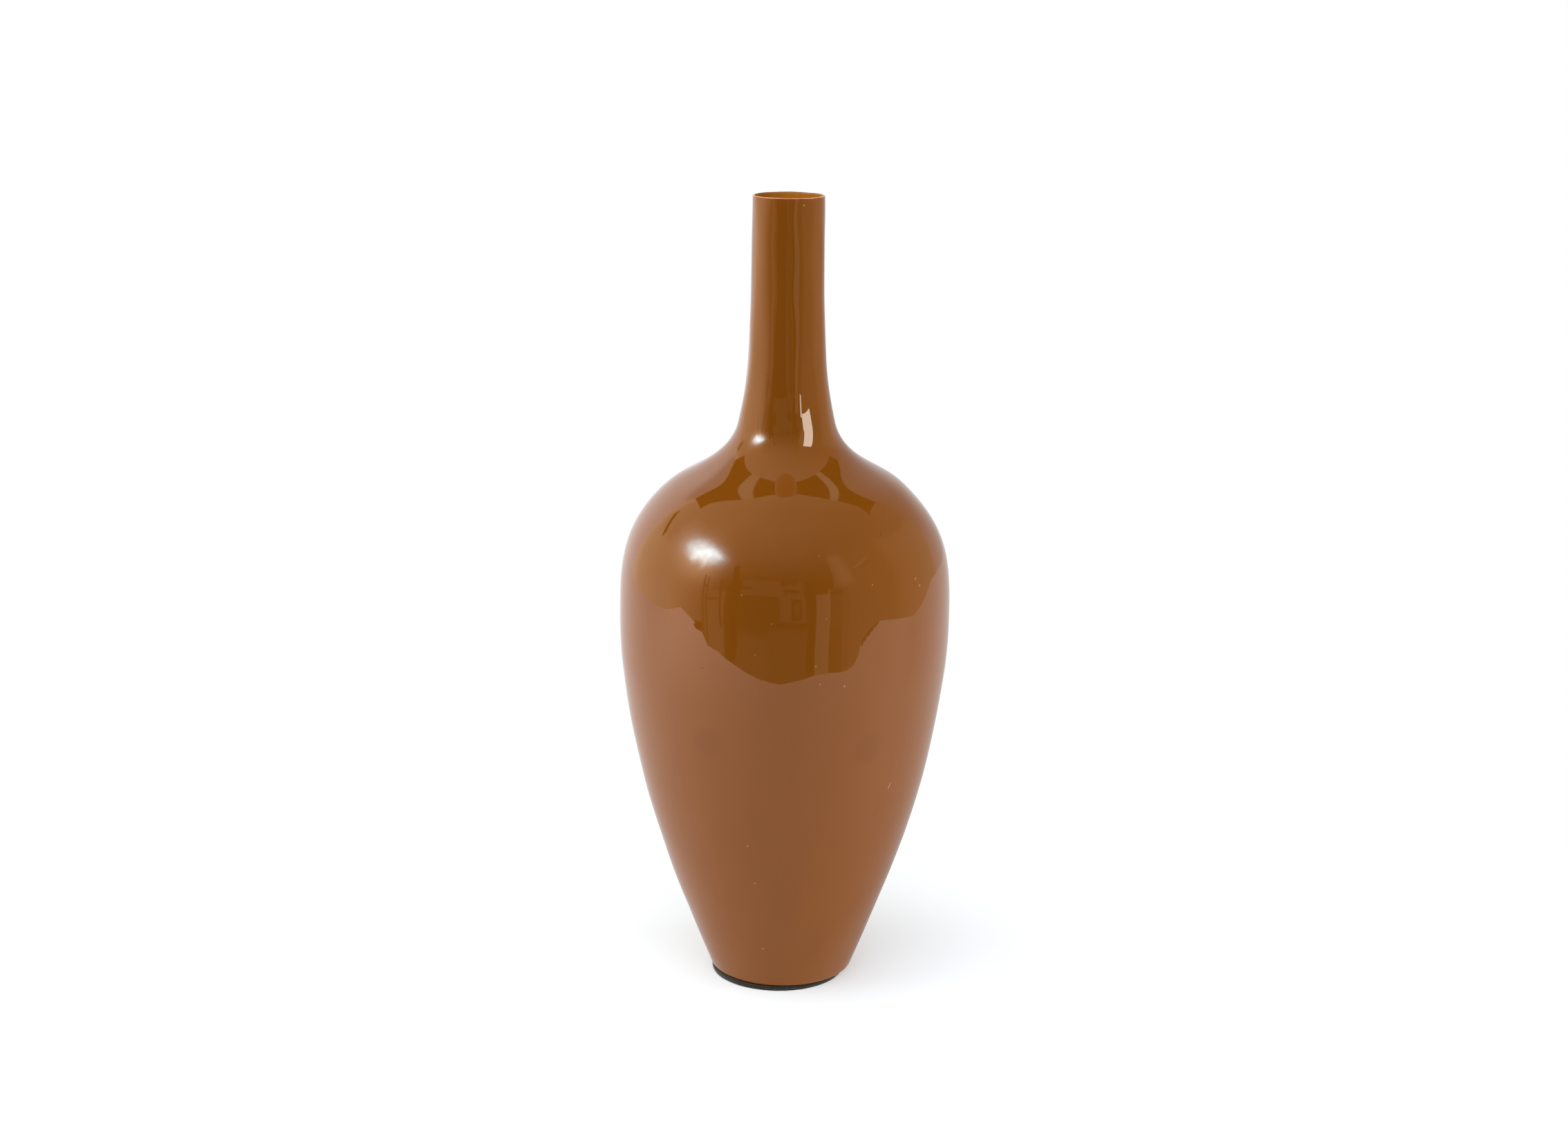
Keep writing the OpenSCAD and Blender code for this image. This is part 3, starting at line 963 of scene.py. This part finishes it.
def wall_brightness(g, x, azimuth, elevation):
    """Brightness of the walls, the dark room and the backdrop."""
    walls = g.mix(g.ramp(azimuth, *LEFT_FAR_EDGE), LEFT_FAR_END, LEFT_WALL)
    shaded = g.times(g.window(azimuth, *SHADED_AZIMUTH), g.window(elevation, *SHADED_ELEVATION))
    walls = g.mix(shaded, walls, LEFT_SHADED)
    walls = g.mix(g.ramp(azimuth, *LEFT_TO_DARK), walls, DARK_ROOM)

    from_edge = g.minus(azimuth, g.ramp(elevation, *RECESS_EDGE))
    walls = g.mix(g.ramp(from_edge, -RECESS_SOFT, RECESS_SOFT), walls, RIGHT_RECESS)
    slope = g.times(g.minus(azimuth, 90.0), RIGHT_TOP_SLOPE)
    under_top = g.ramp(g.plus(elevation, slope), *RIGHT_TOP, 1.0, 0.0)
    walls = g.mix(g.times(g.ramp(azimuth, *RIGHT_WALL_EDGE), under_top), walls, RIGHT_WALL)

    left, right = (g.times(g.ramp(elevation, *fall), bright) for bright, fall in BACKDROP)
    backdrop = g.mix(g.ramp(x, -BACKDROP_MIDDLE, BACKDROP_MIDDLE), left, right)
    return g.mix(behind_vase(g, azimuth), walls, backdrop)


def with_ceiling(g, x, azimuth, elevation, walls):
    """Adds the ceiling, brighter to the left, that fades into the dark room in front."""
    ceiling = g.plus(g.times(x, CEILING_TILT), CEILING)
    sides = g.mix(g.ramp(elevation, *CEILING_EDGE), walls, ceiling)
    climb = g.math("DIVIDE", g.minus(elevation, FRONT_LOW), FRONT_REACH, clamp=True)
    front = g.math("MAXIMUM", g.times(ceiling, g.math("POWER", climb, 0.8)), walls)
    front_share = g.times(g.ramp(azimuth, *FRONT_LEFT_EDGE), g.ramp(azimuth, *FRONT_RIGHT_EDGE, 1.0, 0.0))
    return g.mix(front_share, sides, front)


def with_things(g, azimuth, elevation, level):
    for left, right, low, high, soft, bright, *slant in THINGS:
        lean, climb = slant or (0.0, 0.0)
        across, up = azimuth, elevation
        if lean:
            across = g.plus(azimuth, g.times(elevation, lean))
        if climb:
            up = g.plus(elevation, g.times(g.minus(azimuth, (left + right) / 2), climb))
        share = g.times(g.window(across, left, right, soft), g.window(up, low, high, soft))
        level = g.mix(share, level, bright)
    return level


def with_opening(g, x, y, z, level):
    above = g.math("MAXIMUM", z, 0.02)
    plane_x, plane_y = g.over(x, above), g.over(y, above)
    x_limits, y_limits, soft, opening = OPENING
    plane_y = g.minus(plane_y, g.times(g.math("ABSOLUTE", plane_x), OPENING_SPLAY))
    inside = g.times(g.window(plane_x, *x_limits, soft), g.window(plane_y, *y_limits, soft))
    for limits, bright in BARS:
        opening = g.mix(g.window(plane_x, *limits, soft), opening, bright)
    return g.mix(inside, level, opening)


def world_light():
    """White for the camera, and the room for all other rays."""
    world = bpy.data.worlds.new("studio")
    bpy.context.scene.world = world
    world.use_nodes = True
    g = Nodes(world.node_tree)
    x, y, z = g.parts(g.add("TexCoord").outputs["Generated"])
    azimuth, elevation = angles(g, x, y, z)
    level = wall_brightness(g, x, azimuth, elevation)
    level = with_ceiling(g, x, azimuth, elevation, level)
    level = g.plus(level, g.times(g.bell(azimuth, elevation, HALO_PLACE, HALO_REACH), HALO))
    level = with_things(g, azimuth, elevation, level)
    level = with_opening(g, x, y, z, level)
    sight = g.add("LightPath").outputs["Is Camera Ray"]
    backdrop = g.times(behind_vase(g, azimuth), g.ramp(elevation, *CEILING_EDGE, 1.0, 0.0))
    tint = g.blend(g.math("MAXIMUM", sight, backdrop), ROOM_TINT, WHITE)
    shade = g.add("Background", {"Color": tint, "Strength": g.mix(sight, level, 1.0)})
    g.add("OutputWorld", {"Surface": shade.outputs[0]})


def rectangle(half_x, half_y):
    return [(-half_x, -half_y), (half_x, -half_y), (half_x, half_y), (-half_x, half_y)]


def stage_sheet(name, corners, material, z=0.0):
    """Flat sheet of the studio, with its corners in metres."""
    mesh = bpy.data.meshes.new(name)
    mesh.from_pydata([(x, y, z) for x, y in corners], [], [tuple(range(len(corners)))])
    obj = placed(name, mesh)
    obj.data.materials.append(material)
    return obj


def seen_by(obj, *seeing):
    """Shows an object to some kinds of rays only, and takes its shadow away."""
    for kind in ("camera", "diffuse", "glossy", "transmission", "shadow"):
        setattr(obj, "visible_" + kind, kind in seeing)


# Cold enough to look white, or a little warm, in the warm mirror of the coat
GLOW_TINT = (0.37, 0.75, 1.0, 1.0)
STRIP_TINT = (0.66, 0.89, 0.92, 1.0)


def emission_material(name, strength_of, tint, clear=False):
    """Glow of a strength that depends on the place. A clear one adds to what is behind it."""
    g = new_material(name)
    shade = g.add("Emission", {"Color": tint, "Strength": strength_of(g)})
    if clear:
        behind = g.add("BsdfTransparent")
        shade = g.add("AddShader", {0: shade.outputs[0], 1: behind.outputs[0]})
    return g.surface(shade)


# Outline of the white paper as the coat mirrors it, in metres, from the back on the left round
# the front, with the cable's notch and the nicks of its torn right edge
PAPER = [(-1.35, 0.55), (-1.27, 0.20), (-1.33, -0.11), (-1.75, -0.47), (-1.39, -0.50), (-0.92, -0.51),
         (-0.89, -0.465), (-0.80, -0.452), (-0.745, -0.475), (-0.70, -0.495), (-0.57, -0.47),
         (-0.48, -0.52), (-0.34, -0.54), (-0.22, -0.56), (-0.11, -0.55), (-0.015, -0.53), (0.12, -0.53),
         (0.20, -0.54), (0.29, -0.515), (0.37, -0.48), (0.43, -0.462), (0.48, -0.452), (0.56, -0.452),
         (0.585, -0.466), (0.60, -0.446), (0.625, -0.458), (0.65, -0.446), (0.69, -0.458), (0.71, -0.440),
         (0.76, -0.450), (0.79, -0.437), (0.84, -0.452), (0.87, -0.438), (0.93, -0.443), (1.03, -0.455),
         (1.04, -0.24), (1.02, 0.09), (1.24, 0.39), (1.89, 1.15), (1.60, 1.60), (-1.40, 1.60)]
PAPER_Z = -0.001
PAPER_LEVEL = 0.84
# Bounced light from the paper is this much stronger than its mirror image
PAPER_BOUNCE = 1.43
# The paper's glow brightens to the left, a painted pool of the left lamp's light: over x, and with a share
# that falls over y
LEFT_GAIN_X = (-0.85, 0.06, 0.80, 0.0)
LEFT_GAIN_Y = (-0.3, 0.25, 1.05, 0.35)
RIGHT_GAIN_X = (0.05, 0.45, 0.0, 0.15)
# Shades behind the vase and round its foot, each with its depth for mirrored and bounced light
BACK_SHADE_X = (-0.05, 0.10)
BACK_SHADE_Y = (-0.14, 0.06)
BACK_SHADE = (0.20, 0.16)
VASE_SPOT = (0.02, 0.0, 0.0)
CONTACT_REACH = 0.14
CONTACT_SHADE = (0.40, 0.12)
FLOOR_HALF = 0.56
# The floor's own glow for the camera, and the distances over which the floor fades away
FLOOR_LIFT = 0.45
FLOOR_FADE = (0.30, 0.55)
# Bluish grey that looks white in the cream light of the room
FLOOR_GREY = (0.64, 0.70, 0.82, 1.0)


def floor_material():
    """White paper that keeps the vase's shadow. It opens far out and from below."""
    g = new_material("paper_floor")
    sight = g.add("LightPath").outputs["Is Camera Ray"]
    lit = g.add("BsdfDiffuse", {"Color": FLOOR_GREY})
    lift = g.add("Emission", {"Strength": g.times(sight, FLOOR_LIFT)})
    both = g.add("AddShader", {0: lit.outputs[0], 1: lift.outputs[0]})
    clear = g.add("BsdfTransparent")
    below = g.add("NewGeometry").outputs["Backfacing"]
    open_share = g.math("MAXIMUM", below, g.ramp(g.measure("LENGTH", g.where), *FLOOR_FADE))
    shade = g.add("MixShader", {0: open_share, 1: both.outputs[0], 2: clear.outputs[0]})
    return g.surface(shade)


def paper_glow(g):
    """Strength of the mirrored paper's glow, its own for mirrored and for bounced light, with painted lamp
    light and painted shadows of the vase.
    """
    x, y, _ = g.parts(g.where)
    bounce = g.add("LightPath").outputs["Is Diffuse Ray"]
    left = g.times(g.ramp(x, *LEFT_GAIN_X), g.ramp(y, *LEFT_GAIN_Y))
    level = g.plus(g.plus(left, g.ramp(x, *RIGHT_GAIN_X)), PAPER_LEVEL)
    shade = g.times(g.ramp(x, *BACK_SHADE_X), g.ramp(y, *BACK_SHADE_Y))
    shade = g.times(shade, g.mix(bounce, *BACK_SHADE))
    contact = g.decay(g.over(g.measure("DISTANCE", g.where, VASE_SPOT), CONTACT_REACH))
    contact = g.times(contact, g.mix(bounce, *CONTACT_SHADE))
    level = g.minus(g.minus(level, shade), contact)
    return g.times(level, g.mix(bounce, 1.0, PAPER_BOUNCE))


def floor_and_paper():
    """Floor that only the camera sees, and the paper that all other rays see in its place."""
    floor = stage_sheet("floor", rectangle(FLOOR_HALF, FLOOR_HALF), floor_material())
    seen_by(floor, "camera")
    glow = emission_material("paper_mirrored", paper_glow, WHITE)
    paper = stage_sheet("paper_mirrored", PAPER, glow, PAPER_Z)
    seen_by(paper, "diffuse", "glossy", "transmission")


# Lamps: place, width and height in metres, and watts. All of them aim at the vase's middle.
MIDDLE = (0.0, 0.0, 0.26)
LAMPS = {
    "right_lamp": ((1.1, -0.2, 0.10), 0.35, 0.5, 7.5),
    "left_lamp": ((-1.1, -0.2, 0.08), 0.35, 0.5, 1.8),
    "top_fill": ((-0.15, -0.6, 1.9), 1.6, 1.6, 21.5),
    "front_fill": ((0.0, -1.4, 1.5), 1.0, 1.0, 3.0),
}
# Glow of the left lamp on its card: centre, half widths and strength of each soft spot, in metres
SPOTS = [((-0.055, 0.0), (0.185, 0.100), 30.0), ((-0.20, 0.045), (0.12, 0.050), 9.0),
         ((0.03, -0.115), (0.06, 0.055), 9.0), ((-0.13, -0.10), (0.035, 0.08), 6.0),
         ((-0.05, 0.0), (0.30, 0.19), 1.6)]
GLOW_CAP = 32.0
GLOW_PLACE = (-0.80, -0.27, 0.76)
GLOW_CARD = rectangle(0.65, 0.45)
# Face of the right lamp, whose shade hangs in folds along its top and is bent at its foot, and
# a sliver of its edge
STRIP = [(-0.115, -0.375), (0.20, -0.345), (0.135, -0.24), (0.135, 0.34), (0.09, 0.355), (0.045, 0.34),
         (0.0, 0.355), (-0.045, 0.34), (-0.09, 0.355), (-0.135, 0.34)]
STRIP_PLACE = (0.740, -0.517, 0.775)
STRIP_STRENGTH = 8.8
SLIVER = rectangle(0.04, 0.03)
SLIVER_PLACE = (0.585, -0.685, 0.41)
SLIVER_STRENGTH = 6.0


def put(obj, place, aim, axis):
    """Puts an object at a place, with its axis towards the aim."""
    obj.location = place
    obj.rotation_euler = (Vector(aim) - Vector(place)).to_track_quat(axis, "Y").to_euler()


def lamp(name, place, width, height, watts):
    """Soft lamp that lights the vase, and whose face no mirrored ray sees."""
    data = bpy.data.lights.new(name, "AREA")
    data.shape = "RECTANGLE"
    data.size, data.size_y = width, height
    data.energy = watts
    obj = placed(name, data)
    put(obj, place, MIDDLE, "-Z")
    obj.visible_camera = False
    obj.visible_glossy = False


def card(name, place, aim, corners, strength_of, tint):
    """Lamp face that only mirrored rays see, facing the aim."""
    glow = emission_material(name, strength_of, tint, clear=True)
    obj = stage_sheet(name, corners, glow)
    put(obj, place, aim, "Z")
    seen_by(obj, "glossy", "transmission")
    return obj


def lamp_glow(g):
    x, y, _ = g.parts(g.where)
    total = 0.0
    for centre, reach, strength in SPOTS:
        total = g.plus(total, g.times(g.bell(x, y, centre, reach), strength))
    wisps = g.ramp(g.noise(9.0, 3.0, 0.6), 0.35, 0.65, 0.8, 1.2)
    faded = g.decay(g.over(g.times(total, wisps), GLOW_CAP))
    return g.times(g.minus(1.0, faded), GLOW_CAP)


def lamps(flare):
    """The lamps, the left one's glow, and the right one's face, which only the flare mirrors."""
    for name, settings in LAMPS.items():
        lamp(name, *settings)
    card("left_lamp_face", GLOW_PLACE, MIDDLE, GLOW_CARD, lamp_glow, GLOW_TINT)
    linked = bpy.data.collections.new("flare_only")
    linked.objects.link(flare)
    for name, place, corners, strength in (
            ("right_lamp_face", STRIP_PLACE, STRIP, STRIP_STRENGTH),
            ("right_lamp_edge", SLIVER_PLACE, SLIVER, SLIVER_STRENGTH)):
        level_aim = (0.0, 0.0, place[2])
        obj = card(name, place, level_aim, corners, lambda g: strength, STRIP_TINT)
        obj.light_linking.receiver_collection = linked


# Camera of the photograph, with its angles in degrees and its focal length in pixels
CAMERA_PLACE = (-0.00046, -1.172, 0.510)
CAMERA_PITCH = 14.24
CAMERA_ROLL = 0.603
CLIP = (0.05, 60.0)
FOCAL_PIXELS = 3474.0
IMAGE_WIDTH = 2268.0
SENSOR = 36.0


def camera():
    data = bpy.data.cameras.new("photo_camera")
    data.sensor_fit = "HORIZONTAL"
    data.sensor_width = SENSOR
    data.lens = FOCAL_PIXELS / IMAGE_WIDTH * SENSOR
    data.clip_start, data.clip_end = CLIP
    obj = placed("photo_camera", data)
    pitch = Matrix.Rotation(math.radians(90 - CAMERA_PITCH), 4, "X")
    roll = Matrix.Rotation(math.radians(CAMERA_ROLL), 4, "Z")
    obj.matrix_world = Matrix.Translation(CAMERA_PLACE) @ pitch @ roll
    bpy.context.scene.camera = obj


# The whole scene
def build():
    bpy.context.scene.view_settings.view_transform = "Standard"
    camera()
    flare = shells(enamel_material(), inside_material())
    weld = weld_material()
    bead("belly_bead", BELLY_SEAM, False, weld, "belly_weld", 11)
    bead("shoulder_bead", SHOULDER_SEAM, False, weld, "shoulder_weld", 12)
    bead("neck_bead", NECK_SEAM, True, weld, "neck_weld", 13)
    adhesive_film(adhesive_material())
    felt_pad(felt_material())
    world_light()
    floor_and_paper()
    lamps(flare)


build()
